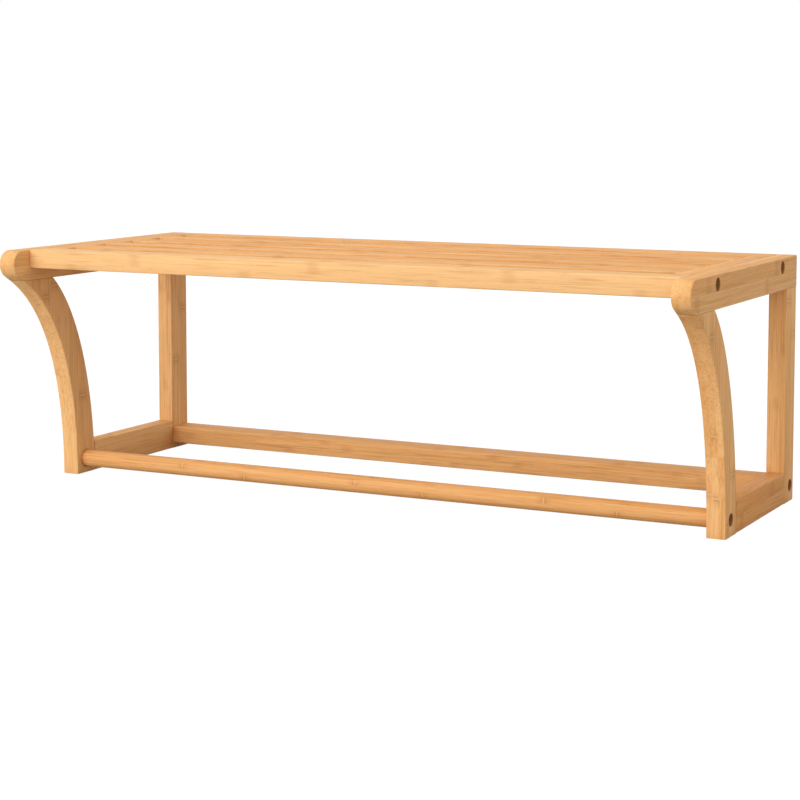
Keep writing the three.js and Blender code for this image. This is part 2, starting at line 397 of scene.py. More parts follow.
def edit(piece, mode, wanted):
    """Goes into edit mode with the vertices, edges or faces that a test picks selected."""
    only(piece)
    bpy.ops.object.mode_set(mode="EDIT")
    bpy.ops.mesh.select_mode(type=mode)
    bpy.ops.mesh.select_all(action="DESELECT")
    bpy.ops.object.mode_set(mode="OBJECT")
    mesh = piece.data
    parts = {"VERT": mesh.vertices, "EDGE": mesh.edges, "FACE": mesh.polygons}[mode]
    for part in parts:
        part.select = wanted(part)
    bpy.ops.object.mode_set(mode="EDIT")


def leave_edit():
    bpy.ops.object.mode_set(mode="OBJECT")


def edge_ends(piece, edge):
    return [piece.data.vertices[index].co for index in edge.vertices]


def ease(piece, wanted, radius, steps):
    """Rounds the edges whose two ends pass a test."""
    edit(piece, "EDGE", lambda edge: wanted(*edge_ends(piece, edge)))
    bpy.ops.mesh.bevel(offset=radius, segments=steps, affect="EDGES", clamp_overlap=True)
    leave_edit()


def along(axis):
    """Tests that an edge runs along an axis."""
    return lambda a, b: (b - a).normalized().cross(AXES[axis]).length < CLOSE / MM


def in_plane(axis, *places):
    """Tests that an edge lies in one of the planes across an axis."""
    index = "XYZ".index(axis)
    return lambda a, b: any(abs(a[index] - p) < CLOSE and abs(b[index] - p) < CLOSE for p in places)


def ease_board(piece, grain, sizes):
    """Rounds a straight board's long edges, and just breaks the rims of its ends."""
    index = "XYZ".index(grain)
    ends = [corner[index] for corner in mesh_box(piece)]
    ease(piece, along(grain), sizes.easing, sizes.easing_steps)
    ease(piece, in_plane(grain, *ends), sizes.joint_easing, JOINT_EASING_STEPS)


def mesh_box(piece):
    places = [vertex.co for vertex in piece.data.vertices]
    low = Vector([min(place[i] for place in places) for i in range(3)])
    high = Vector([max(place[i] for place in places) for i in range(3)])
    return low, high


def carve(piece, tools):
    """Cuts each tool's solid out of a piece, and removes the tool."""
    for tool in tools:
        only(piece)
        cut = piece.modifiers.new("cut", "BOOLEAN")
        cut.operation = "DIFFERENCE"
        cut.solver = "EXACT"
        cut.object = tool
        bpy.ops.object.modifier_apply(modifier=cut.name)
        bpy.data.objects.remove(tool)
    edit(piece, "VERT", lambda vertex: True)
    bpy.ops.mesh.remove_doubles(threshold=CUT_CRUMB)
    bpy.ops.mesh.dissolve_degenerate(threshold=CUT_CRUMB)
    leave_edit()


def smooth(piece):
    only(piece)
    bpy.ops.object.shade_smooth_by_angle(angle=SMOOTH_ANGLE)


def copy_of(piece, name, move=Vector((0, 0, 0)), mirrored=False):
    """A copy with its own mesh, moved, or mirrored to the other side of the shelf's middle."""
    only(piece)
    bpy.ops.object.duplicate(linked=False)
    made = bpy.context.object
    if mirrored:
        edit(made, "FACE", lambda face: True)
        bpy.ops.transform.resize(value=(-1, 1, 1), center_override=(0, 0, 0))
        bpy.ops.mesh.normals_make_consistent(inside=False)
        leave_edit()
    made.location = move
    return settle(made, name)


# ---- Materials --------------------------------------------------------------------------------


def linear(code, alpha=1.0):
    """An sRGB hex colour as the linear values that a shader works in."""
    levels = [int(code[i : i + 2], 16) / 255 for i in (1, 3, 5)]
    values = [v / 12.92 if v <= 0.04045 else ((v + 0.055) / 1.055) ** 2.4 for v in levels]
    return (*values, alpha)


def add_node(tree, kind, settings=None, **links):
    """Adds a node. A setting is an attribute, or a socket's value by name or number; a link
    joins another node's output to the socket of that name or number (_0, _1 ...)."""
    node = tree.nodes.new(kind)
    for key, value in (settings or {}).items():
        if isinstance(key, int) or key in node.inputs:
            node.inputs[key].default_value = value
        else:
            setattr(node, key, value)
    for key, source in links.items():
        socket = int(key[1:]) if key.startswith("_") else key
        tree.links.new(source, node.inputs[socket])
    return node


def new_material(name, **shader):
    """A material with a Principled shader, whose constant values are set on its own sockets."""
    material = bpy.data.materials.new(name)
    material.use_nodes = True
    shader_node = material.node_tree.nodes["Principled BSDF"]
    for key, value in shader.items():
        shader_node.inputs[key.replace("_", " ")].default_value = value
    return material, material.node_tree, shader_node


def arithmetic(tree, operation, first, second=None, third=None):
    """One sum on numbers or outputs."""
    node = tree.nodes.new("ShaderNodeMath")
    node.operation = operation
    for index, value in enumerate((first, second, third)):
        if isinstance(value, bpy.types.NodeSocket):
            tree.links.new(value, node.inputs[index])
        elif value is not None:
            node.inputs[index].default_value = value
    return node.outputs[0]


def ramp(tree, source, low, high, to_low=0.0, to_high=1.0):
    """Maps a number from one range to another, with soft ends."""
    node = add_node(
        tree,
        "ShaderNodeMapRange",
        {"interpolation_type": "SMOOTHSTEP", 1: low, 2: high, 3: to_low, 4: to_high},
        _0=source,
    )
    return node.outputs[0]


def tint(tree, share, base, colour):
    """Mixes a base colour towards another by a share."""
    node = add_node(tree, "ShaderNodeMix", {"data_type": "RGBA"}, _0=share)
    for socket, value in ((node.inputs[6], base), (node.inputs[7], colour)):
        if isinstance(value, bpy.types.NodeSocket):
            tree.links.new(value, socket)
        else:
            socket.default_value = value
    return node.outputs[2]


def streaks(tree, grain, length, width, detail=2.0):
    """Noise drawn out along the grain: length and width of one streak in metres."""
    stretch = (1 / length, 1 / width, 1 / width)
    scaled = add_node(tree, "ShaderNodeVectorMath", {"operation": "MULTIPLY", 1: stretch}, _0=grain)
    noise = add_node(
        tree,
        "ShaderNodeTexNoise",
        {"Scale": 1.0, "Detail": detail, "Roughness": 0.55},
        Vector=scaled.outputs[0],
    )
    return noise.outputs[0]


def bamboo(name, finish, strip, ply):
    """Laminated bamboo, planed, sanded and satin lacquered. To the eye: strips that differ a
    little in tone, fine lengthwise fibres and short dark dashes, a culm node across each strip
    every hand's length, hairline glue lines, and a soft sheen that the fibres break up. The
    walls and floors of the counterbores are darkened with painted shade."""
    material, tree, shader = new_material(name, IOR=1.5, Specular_IOR_Level=0.12)
    attribute = add_node(tree, "ShaderNodeAttribute", {"attribute_name": "grain"})
    grain = attribute.outputs["Vector"]
    place = add_node(tree, "ShaderNodeSeparateXYZ", _0=grain)
    run, width, depth = place.outputs
    board_tone = add_node(tree, "ShaderNodeAttribute", {"attribute_name": "tone"}).outputs["Fac"]
    # The drilled attribute marks the counterbores' walls and floors, where painted shade is laid
    drilled = add_node(tree, "ShaderNodeAttribute", {"attribute_name": "drilled"}).outputs["Fac"]

    # The strip that a point lies in, and that strip's own chance values
    column = arithmetic(tree, "DIVIDE", width, strip)
    layer = arithmetic(tree, "DIVIDE", depth, ply)
    strip_id = add_node(
        tree,
        "ShaderNodeCombineXYZ",
        _0=arithmetic(tree, "FLOOR", column),
        _1=arithmetic(tree, "FLOOR", layer),
    )
    chance = add_node(
        tree, "ShaderNodeTexWhiteNoise", {"noise_dimensions": "3D"}, Vector=strip_id.outputs[0]
    )
    chances = add_node(tree, "ShaderNodeSeparateColor", _0=chance.outputs["Color"])
    tone, phase, warmth = chances.outputs

    # Fibres 0.9 mm across and 70 mm long, drawn twice as coarse as real ones so that they show,
    # in bands 5 mm across; dark threads 1 mm across are bundles that lie open along the cut, and
    # dashes 0.6 mm across and 12 mm long are bundles that the cut only grazes
    fibres = streaks(tree, grain, 70 * MM, 0.9 * MM, 4.0)
    bands = streaks(tree, grain, 190 * MM, 4.5 * MM)
    threads = ramp(tree, streaks(tree, grain, 45 * MM, 1.0 * MM, 1.0), 0.54, 0.7)
    dashes = ramp(tree, streaks(tree, grain, 12 * MM, 0.6 * MM, 1.0), 0.62, 0.74)
    blushes = ramp(tree, streaks(tree, grain, 60 * MM, 3.2 * MM), 0.52, 0.72)

    # Culm nodes: a pale ridge between two dark strokes, a soft shade on both sides, and all of
    # it broken up and fading towards the strip's edges
    wave = arithmetic(tree, "MULTIPLY", streaks(tree, grain, 12 * MM, 6 * MM, 1.0), 2 * MM)
    turns = arithmetic(tree, "DIVIDE", arithmetic(tree, "ADD", run, wave), finish.node_spacing)
    turn = arithmetic(tree, "FRACT", arithmetic(tree, "ADD", turns, phase))
    off = arithmetic(tree, "MULTIPLY", arithmetic(tree, "SUBTRACT", turn, 0.5), finish.node_spacing)
    distance = arithmetic(tree, "ABSOLUTE", off)
    beside = arithmetic(tree, "ABSOLUTE", arithmetic(tree, "SUBTRACT", distance, 1.4 * MM))
    inside = ramp(tree, arithmetic(tree, "PINGPONG", column, 0.5), 0.06, 0.2)
    patchy = ramp(tree, streaks(tree, grain, 20 * MM, 3 * MM), 0.38, 0.55)
    patchy = arithmetic(tree, "MULTIPLY", patchy, inside)
    stroke = arithmetic(tree, "MULTIPLY", ramp(tree, beside, 0.2 * MM, 0.8 * MM, 1.0, 0.0), patchy)
    ridge = arithmetic(tree, "MULTIPLY", ramp(tree, distance, 0.4 * MM, 1.2 * MM, 1.0, 0.0), inside)
    shade = ramp(tree, distance, 1 * MM, 9 * MM, 1.0, 0.0)

    # Glue lines between strips and layers, 0.3 mm across
    seams = []
    for cells, size in ((column, strip), (layer, ply)):
        within = arithmetic(tree, "PINGPONG", cells, 0.5)
        to_seam = arithmetic(tree, "MULTIPLY", within, size)
        seams.append(ramp(tree, to_seam, 0.1 * MM, 0.35 * MM, 1.0, 0.0))
    seam = arithmetic(tree, "MAXIMUM", *seams)

    # The colour: pale to deep by strip, band and fibre, blushed, leaning to the board's tone,
    # darkened where fibres, culm nodes and glue lines lie open, and given painted shade in the
    # counterbores
    pattern = arithmetic(tree, "MULTIPLY", bands, BANDS_SHARE)
    pattern = arithmetic(tree, "MULTIPLY_ADD", tone, TONE_SHARE, pattern)
    pattern = arithmetic(tree, "MULTIPLY_ADD", fibres, FIBRES_SHARE, pattern)
    deepness = ramp(tree, pattern, 0.42, 1.0)
    colour = tint(tree, deepness, linear(finish.pale), linear(finish.deep))
    blush_share = arithmetic(tree, "MULTIPLY_ADD", warmth, WARM_BLUSH_SHARE, BLUSH_SHARE)
    blush_share = arithmetic(tree, "MULTIPLY", blushes, blush_share)
    colour = tint(tree, blush_share, colour, linear(finish.blush))
    paleness = arithmetic(tree, "MULTIPLY", board_tone, -1.0)
    colour = tint(tree, paleness, colour, linear(finish.bleached))
    colour = tint(tree, board_tone, colour, linear(finish.caramel))
    dark_parts = (
        (threads, THREADS_SHARE),
        (dashes, DASHES_SHARE),
        (shade, SHADE_SHARE),
        (stroke, STROKE_SHARE),
        (seam, SEAM_SHARE),
    )
    for mask, share in dark_parts:
        colour = tint(tree, arithmetic(tree, "MULTIPLY", mask, share), colour, linear(finish.fibre))
    ridge_share = arithmetic(tree, "MULTIPLY", ridge, RIDGE_SHARE)
    colour = tint(tree, ridge_share, colour, linear(finish.bleached))
    # Painted shade on the counterbores' walls and floors
    counterbore_shade_share = arithmetic(tree, "MULTIPLY", drilled, COUNTERBORE_SHADE_SHARE)
    colour = tint(tree, counterbore_shade_share, colour, linear(finish.drilled))
    tree.links.new(colour, shader.inputs["Base Color"])

    # The sheen, broken up by the fibres, and the relief: ridges up, dashes and seams down
    low, high = finish.roughness - 0.07, finish.roughness + 0.09
    tree.links.new(ramp(tree, fibres, 0.25, 0.75, low, high), shader.inputs["Roughness"])
    relief = arithmetic(tree, "SUBTRACT", arithmetic(tree, "MULTIPLY", ridge, 0.6), dashes)
    relief = arithmetic(tree, "SUBTRACT", relief, arithmetic(tree, "MULTIPLY", seam, 0.8))
    relief = arithmetic(tree, "MULTIPLY_ADD", fibres, 0.7, relief)
    height = {"Strength": 0.35, "Distance": 0.06 * MM}
    bump = add_node(tree, "ShaderNodeBump", height, Height=relief)
    tree.links.new(bump.outputs[0], shader.inputs["Normal"])
    return material


def beech():
    """Beech, turned and fluted, left bare. To the eye: pale pinkish wood, dry and matt, with
    short fine flecks."""
    material, tree, shader = new_material("beech_fluted_bare", IOR=1.5, Roughness=0.72)
    attribute = add_node(tree, "ShaderNodeAttribute", {"attribute_name": "grain"})
    flecks = streaks(tree, attribute.outputs["Vector"], 3 * MM, 0.4 * MM)
    colour = tint(tree, ramp(tree, flecks, 0.4, 0.7), linear("#DDBB92"), linear("#C79E70"))
    tree.links.new(colour, shader.inputs["Base Color"])
    bump = add_node(tree, "ShaderNodeBump", {"Strength": 0.3, "Distance": 0.05 * MM}, Height=flecks)
    tree.links.new(bump.outputs[0], shader.inputs["Normal"])
    return material


def blackened_steel():
    """Carbon steel, cold headed and blackened. To the eye: near black with a dull metal gleam,
    and slightly uneven where the blackening took more or less."""
    material, tree, shader = new_material("carbon_steel_blackened", Metallic=0.85)
    place = add_node(tree, "ShaderNodeTexCoord")
    mottle = add_node(
        tree,
        "ShaderNodeTexNoise",
        {"Scale": 1 / (1.2 * MM), "Detail": 3.0},
        Vector=place.outputs["Object"],
    ).outputs[0]
    colour = tint(tree, ramp(tree, mottle, 0.35, 0.65), linear("#262523"), linear("#3A3835"))
    tree.links.new(colour, shader.inputs["Base Color"])
    tree.links.new(ramp(tree, mottle, 0.3, 0.7, 0.34, 0.5), shader.inputs["Roughness"])
    return material


@cache
def finish_for(slot):
    """The material of a slot, made the first time it is asked for."""
    if slot == "beech_dowel":
        return beech()
    if slot == "blackened_steel":
        return blackened_steel()
    names = {
        "bamboo_board": "bamboo_laminated_lacquered",
        "bamboo_rod": "bamboo_turned_lacquered",
    }
    board_low, board_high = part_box("front_slat")
    strip = (board_high.y - board_low.y) / STRIP_COUNT
    ply = (board_high.z - board_low.z) / PLY_COUNT
    return bamboo(names[slot], bpy.context.scene.bamboo_finish, strip, ply)


def lay_grain(piece, node, grain, depth_axis):
    """Stores, at each vertex, its place along the grain, across the board and through its
    thickness. Each board is a cut from another stretch of bamboo, so its counts start at
    values of their own. Stores the board's tone too, and where it is drilled, which marks the
    counterbores' walls and floors for painted shade."""
    low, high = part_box(node)
    along_grain = "XYZ".index(grain)
    through = "XYZ".index(depth_axis)
    across = 3 - along_grain - through
    number = sorted(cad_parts).index(node)
    strip = (high[across] - low[across]) / STRIP_COUNT
    ply = (high[through] - low[through]) / PLY_COUNT
    run, strips, plies = GRAIN_STARTS
    start = Vector((run * number, strips * number * strip, plies * number * ply))
    attribute = piece.data.attributes.new("grain", "FLOAT_VECTOR", "POINT")
    for index, vertex in enumerate(piece.data.vertices):
        own = vertex.co - low
        attribute.data[index].vector = start + Vector((own[along_grain], own[across], own[through]))
    tones = piece.data.attributes.new("tone", "FLOAT", "POINT")
    drilled = piece.data.attributes.new("drilled", "FLOAT", "POINT")
    screws = [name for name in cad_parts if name.endswith("_screw")]
    middles = [sum(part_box(name), Vector()) / 2 for name in screws]
    for index, vertex in enumerate(piece.data.vertices):
        tones.data[index].value = BOARD_TONES.get(node, 0.0)
        drilled.data[index].value = float(in_counterbore(vertex.co, middles))


def in_counterbore(place, middles):
    """Whether a place lies on the wall or the floor of a screw's counterbore."""
    sizes = bpy.context.scene.shelf_sizes
    depth = cad_box[1].x - abs(place.x)
    if not sizes.mouth_chamfer / 2 < depth < sizes.counterbore_depth + CLOSE:
        return False
    reach = sizes.counterbore / 2 + CLOSE
    return any(math.hypot(place.y - m.y, place.z - m.z) < reach for m in middles)


def hand_over(piece, node, slot):
    """Gives a finished piece its material and puts it in its CAD node's stead."""
    smooth(piece)
    piece.data.materials.clear()
    piece.data.materials.append(finish_for(slot))
    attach(piece, "root")
    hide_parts(node)


# ---- Drilling ---------------------------------------------------------------------------------


def drill(node, depth, radius, end_radius=None, sides=ROUND_SIDES):
    """A tool that goes in from the side frame's outer face, on a screw's axis."""
    low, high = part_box(node)
    side = 1 if low.x > 0 else -1
    axis = (low + high) / 2
    start = Vector((side * (cad_box[1].x + OVERSHOOT), axis.y, axis.z))
    return add_round("tool", start, "X", -side, depth + OVERSHOOT, radius, sides, end_radius)


def shank_hole(node, sizes):
    """The tool that drills the hole for a screw's shank."""
    low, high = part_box(node)
    reach = cad_box[1].x - min(abs(low.x), abs(high.x)) + OVERSHOOT
    return drill(node, reach, sizes.clearance_hole / 2, sides=HOLE_SIDES)


def screw_bores(node, sizes):
    """The tools that drill one screw's counterbore, with its chamfered mouth, and its hole."""
    radius = sizes.counterbore / 2
    lip = sizes.mouth_chamfer
    return [
        drill(node, sizes.counterbore_depth, radius),
        shank_hole(node, sizes),
        drill(node, lip, radius + lip + OVERSHOOT, radius),
    ]


# ---- Boards -----------------------------------------------------------------------------------


def straight_board(node, grain, sizes):
    board = add_board(node + "_board", *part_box(node))
    ease_board(board, grain, sizes)
    return board


def make_slats(sizes):
    """The deck: two edge slats that reach the side frames, and the shorter ones between."""
    families = {
        "front_slat": ["rear_slat"],
        "deck_slat_2": ["deck_slat_3", "deck_slat_4", "deck_slat_5"],
    }
    for first, others in families.items():
        board = straight_board(first, "X", sizes)
        made = {first: board}
        for node in others:
            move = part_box(node)[0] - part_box(first)[0]
            made[node] = copy_of(board, node + "_board", move)
        for node, piece in made.items():
            lay_grain(piece, node, "X", "Z")
            hand_over(piece, node, "bamboo_board")


def for_both_sides(name, make, grain, slot="bamboo_board"):
    """Makes the right side's piece, and mirrors a copy of it for the left."""
    right = make("right_" + name)
    left = copy_of(right, "left_" + name + "_board", mirrored=True)
    for node, piece in (("right_" + name, right), ("left_" + name, left)):
        lay_grain(piece, node, grain, "Z" if name == "deck_batten" else "X")
        hand_over(piece, node, slot)


def make_battens(sizes):
    """The battens under the side frames' screws, drilled for them."""

    def batten(node):
        board = straight_board(node, "Y", sizes)
        for screw in ("right_front_deck_screw", "right_rear_deck_screw"):
            carve(board, [shank_hole(screw, sizes)])
        return board

    for_both_sides("deck_batten", batten, "Y")


def make_top_rails(sizes):
    """The side frames' top rails: a board with a round nose and a sloping chin."""

    def rail(node):
        low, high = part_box(node)
        board = add_board(node + "_board", low, high)
        radius = sizes.nose_radius
        nose = Vector((0, low.y + radius, high.z - radius))
        fall = Vector((0, -math.sin(sizes.chin_slope), -math.cos(sizes.chin_slope)))
        edit(board, "FACE", lambda face: True)
        bpy.ops.mesh.bisect(
            plane_co=nose + fall * radius, plane_no=fall, use_fill=True, clear_outer=True
        )
        leave_edit()
        corner = nose.z - radius * math.tan(math.pi / 4 - sizes.chin_slope / 2)
        at_front = in_plane("Y", low.y)

        def front_edge(height):
            return lambda a, b: at_front(a, b) and abs(a.z - height) < CLOSE

        ease_nose(board, front_edge(high.z), radius, NOSE_STEPS)
        ease_nose(board, front_edge(corner), nose.z - corner, CHIN_STEPS)
        edit(board, "VERT", lambda vertex: True)
        bpy.ops.mesh.remove_doubles(threshold=CLOSE)
        leave_edit()
        return ease_outline(board, low, high, sizes)

    for_both_sides("top_rail", rail, "Y")


def ease_nose(board, wanted, width, steps):
    """Rounds one of the two corners that make up the nose, right across the board."""
    across = along("X")

    def chosen(edge):
        ends = edge_ends(board, edge)
        return across(*ends) and wanted(*ends)

    edit(board, "EDGE", chosen)
    bpy.ops.mesh.bevel(offset=width, segments=steps, affect="EDGES", clamp_overlap=False)
    leave_edit()


def ease_outline(board, low, high, sizes):
    """Eases a top rail's outline, but only breaks the edges that lie on the leg and the post."""
    faces = in_plane("X", low.x, high.x)
    underside = in_plane("Z", low.z)
    back = in_plane("Y", high.y)

    def free_edge(a, b):
        return faces(a, b) and not (underside(a, b) or back(a, b))

    def jointed_edge(a, b):
        return faces(a, b) and (underside(a, b) or back(a, b))

    ease(board, free_edge, sizes.easing, sizes.easing_steps)
    ease(board, jointed_edge, sizes.joint_easing, JOINT_EASING_STEPS)
    for screw in ("right_front_deck_screw", "right_rear_deck_screw"):
        carve(board, screw_bores(screw, sizes))
    return board


def swept_edge(start_y, height, slope, foot_y, pulls):
    """A leg's edge as a curve from the top rail to the foot: Y and Z for t from 0 to 1."""
    handle = pulls[0] * height
    points = (
        (start_y, height),
        (start_y + handle * math.cos(slope), height - handle * math.sin(slope)),
        (foot_y, pulls[1] * height),
        (foot_y, 0.0),
    )

    def at(t):
        weights = ((1 - t) ** 3, 3 * t * (1 - t) ** 2, 3 * t * t * (1 - t), t**3)
        return tuple(sum(w * p[axis] for w, p in zip(weights, points)) for axis in (0, 1))

    return at


def y_at(curve, height):
    """Y of a swept edge at a height, by halving the stretch that holds it."""
    near, far = 0.0, 1.0
    for _ in range(CURVE_HALVINGS):
        middle = (near + far) / 2
        if curve(middle)[1] > height:
            near = middle
        else:
            far = middle
    return curve((near + far) / 2)[0]


def make_front_legs(sizes):
    """The swept front legs, grown step by step from the foot up to the top rail."""

    def leg(node):
        low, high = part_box(node)
        post_low, post_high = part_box("right_rear_post")
        calf_y = high.y
        foot_y = calf_y - (post_high.y - post_low.y)
        shin = swept_edge(low.y, high.z, sizes.chin_slope, foot_y, SHIN_PULLS)
        calf = swept_edge(low.y + NECK_WIDTH, high.z, sizes.nape_slope, calf_y, CALF_PULLS)
        heights = [shin(1 - step / LEG_STEPS)[1] for step in range(LEG_STEPS + 1)]
        first = Vector((low.x, foot_y, 0)), Vector((high.x, calf_y, heights[1]))
        board = add_board(node + "_board", *first)
        fit_section(board, heights[1], shin, calf)
        for height in heights[2:]:
            top = max(vertex.co.z for vertex in board.data.vertices)
            edit(board, "FACE", lambda f: f.normal.z > END_FACE and f.center.z > top - CLOSE)
            bpy.ops.mesh.extrude_region_move(TRANSFORM_OT_translate={"value": (0, 0, height - top)})
            leave_edit()
            fit_section(board, height, shin, calf)
        sides = in_plane("X", low.x, high.x)
        ends = in_plane("Z", 0.0, high.z)
        ease(board, lambda a, b: sides(a, b) and not ends(a, b), sizes.easing, sizes.easing_steps)
        ease(board, ends, sizes.joint_easing, JOINT_EASING_STEPS)
        carve(board, screw_bores("right_towel_rail_screw", sizes))
        rod_low, rod_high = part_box("towel_rail")
        mouth = (rod_low + rod_high) / 2
        mouth.x = low.x - OVERSHOOT
        socket = (rod_high.z - rod_low.z) / 2 + sizes.socket_gap
        depth = sizes.socket_depth + OVERSHOOT
        carve(board, [add_round("tool", mouth, "X", 1, depth, socket, SOCKET_SIDES)])
        return board

    for_both_sides("front_leg", leg, "Z")


def fit_section(board, height, shin, calf):
    """Moves a leg's top section so that its front and rear edges lie on their curves."""
    front, rear = y_at(shin, height), y_at(calf, height)
    edit(board, "VERT", lambda vertex: abs(vertex.co.z - height) < CLOSE)
    leave_edit()
    chosen = [vertex.co for vertex in board.data.vertices if vertex.select]
    old_front = min(place.y for place in chosen)
    old_rear = max(place.y for place in chosen)
    bpy.ops.object.mode_set(mode="EDIT")
    stretch = (rear - front) / (old_rear - old_front)
    bpy.ops.transform.resize(value=(1, stretch, 1), center_override=(0, old_front, height))
    bpy.ops.transform.translate(value=(0, front - old_front, 0))
    leave_edit()


def make_rear_posts(sizes):
    """The straight rear posts, each with a keyhole routed in its back."""

    def post(node):
        board = straight_board(node, "Z", sizes)
        carve(board, screw_bores("right_rear_rail_screw", sizes))
        carve(board, keyhole_tools(node))
        return board

    for_both_sides("rear_post", post, "Z")


def keyhole_tools(node):
    """The router's passes for a keyhole: the entry, the slot above it, and the undercut behind
    the slot's lip."""
    low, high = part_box(node)
    middle = (low.x + high.x) / 2
    entry_z = high.z + RAIL_JOINT - KEYHOLE_DROP
    top_z = entry_z + KEYHOLE_RISE
    back = high.y + OVERSHOOT
    floor_y = high.y - KEYHOLE_DEPTH
    lip_y = high.y - KEYHOLE_LIP
    entry, slot = KEYHOLE_ENTRY_RADIUS, KEYHOLE_SLOT_RADIUS

    def plunge(z, start_y, radius, sides):
        start = Vector((middle, start_y, z))
        return add_round("tool", start, "Y", -1, start_y - floor_y, radius, sides)

    def pass_up(start_y, radius):
        low_corner = Vector((middle - radius, floor_y, entry_z))
        return add_board("tool", low_corner, Vector((middle + radius, start_y, top_z)))

    return [
        plunge(entry_z, back, entry, ROUND_SIDES),
        plunge(top_z, back, slot, HOLE_SIDES),
        pass_up(back, slot),
        plunge(top_z, lip_y, entry, ROUND_SIDES),
        pass_up(lip_y, entry),
    ]


def make_lower_rails(sizes):
    """The side frames' lower rails, and the flat rail that ties their rear ends."""
    for_both_sides("lower_rail", lambda node: straight_board(node, "Y", sizes), "Y")
    board = straight_board("rear_lower_rail", "X", sizes)
    lay_grain(board, "rear_lower_rail", "X", "Z")
    hand_over(board, "rear_lower_rail", "bamboo_board")


def make_towel_rail(sizes):
    """The round rail, turned from bamboo, with chamfered ends in their sockets."""
    low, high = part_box("towel_rail")
    centre = (low + high) / 2
    start = Vector((low.x, centre.y, centre.z))
    radius = (high.z - low.z) / 2
    rod = add_round("towel_rail_rod", start, "X", 1, high.x - low.x, radius, ROD_SIDES)
    ease(rod, in_plane("X", low.x, high.x), ROD_CHAMFER, steps=2)
    for side in ("left", "right"):
        carve(rod, [shank_hole(side + "_towel_rail_screw", sizes)])
    lay_grain(rod, "towel_rail", "X", "Z")
    hand_over(rod, "towel_rail", "bamboo_rod")


# ---- Fixings ----------------------------------------------------------------------------------


def make_screws(sizes):
    """The sunk furniture screws: a chamfered round head with a hex socket, and a shank that
    ends in a point."""
    nodes = [n for n in sorted(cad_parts) if n.startswith("right_") and n.endswith("_screw")]
    for right, piece in like_pieces(nodes, screw, "_steel").items():
        left = right.replace("right_", "left_")
        mirrored = copy_of(piece, left + "_steel", mirrored=True)
        hand_over(piece, right, "blackened_steel")
        hand_over(mirrored, left, "blackened_steel")


def like_pieces(nodes, make, ending):
    """Makes one piece for each size that like nodes come in, and copies it to the others."""
    made, firsts = {}, []
    for node in nodes:
        low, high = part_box(node)
        for first in firsts:
            first_low, first_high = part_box(first)
            if (high - low - first_high + first_low).length < CLOSE:
                made[node] = copy_of(made[first], node + ending, low - first_low)
                break
        else:
            firsts.append(node)
            made[node] = make(node)
    return made


def screw(node):
    low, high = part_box(node)
    axis = (low + high) / 2
    head_radius = (high.z - low.z) / 2
    crown = Vector((high.x, axis.y, axis.z))
    piece = add_round(node + "_steel", crown, "X", -1, SCREW_HEAD_DEPTH, head_radius)
    seat_x = high.x - SCREW_HEAD_DEPTH
    ease(piece, in_plane("X", high.x), SCREW_HEAD_ROUNDING, steps=3)
    edit(piece, "FACE", lambda f: f.normal.x < -END_FACE and abs(f.center.x - seat_x) < CLOSE)
    bpy.ops.mesh.inset(thickness=head_radius - SCREW_SHANK_RADIUS, depth=0)
    for length in (seat_x - low.x - SCREW_TIP, SCREW_TIP):
        bpy.ops.mesh.extrude_region_move(TRANSFORM_OT_translate={"value": (-length, 0, 0)})
    point = (low.x, axis.y, axis.z)
    bpy.ops.transform.resize(value=(1, SCREW_TIP_SHARE, SCREW_TIP_SHARE), center_override=point)
    leave_edit()
    hex_radius = HEX_KEY / math.cos(math.pi / 6) / 2
    mouth = crown + AXES["X"] * OVERSHOOT
    carve(piece, [add_round("tool", mouth, "X", -1, HEX_DEPTH + OVERSHOOT, hex_radius, 6)])
    return piece


def long_axis(node):
    low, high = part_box(node)
    size = high - low
    return max(range(3), key=lambda index: size[index])


def make_dowels(sizes):
    """The glued dowels inside the joints: fluted, with chamfered ends."""
    nodes = [n for n in sorted(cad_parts) if "_dowel_" in n]
    for node, piece in like_pieces(nodes, dowel, "_beech").items():
        index = long_axis(node)
        lay_grain(piece, node, "XYZ"[index], "XYZ"[(index + 1) % 3])
        hand_over(piece, node, "beech_dowel")


def dowel(node):
    low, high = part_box(node)
    index = long_axis(node)
    grain = "XYZ"[index]
    length = high[index] - low[index]
    start = (low + high) / 2
    start[index] = low[index]
    piece = add_round(node + "_beech", start, grain, 1, length, min(high - low) / 2)
    ease(piece, in_plane(grain, low[index], high[index]), DOWEL_CHAMFER, steps=1)
    edit(piece, "FACE", flute_test(piece, grain))
    bpy.ops.mesh.inset(thickness=FLUTE_INSET, depth=-FLUTE_DEPTH, use_individual=True)
    leave_edit()
    return piece


def flute_test(dowel, grain):
    """Picks the long faces of a dowel that get a flute."""
    index = "XYZ".index(grain)
    u, v = [i for i in range(3) if i != index]
    low, high = mesh_box(dowel)
    centre = (low + high) / 2

    def wanted(face):
        if abs(face.normal[index]) > 1 - END_FACE:
            return False
        away = face.center - centre
        step = math.floor(math.atan2(away[v], away[u]) / (2 * math.pi / ROUND_SIDES))
        return step % FLUTE_SPACING == 0

    return wanted


# ---- Studio -----------------------------------------------------------------------------------


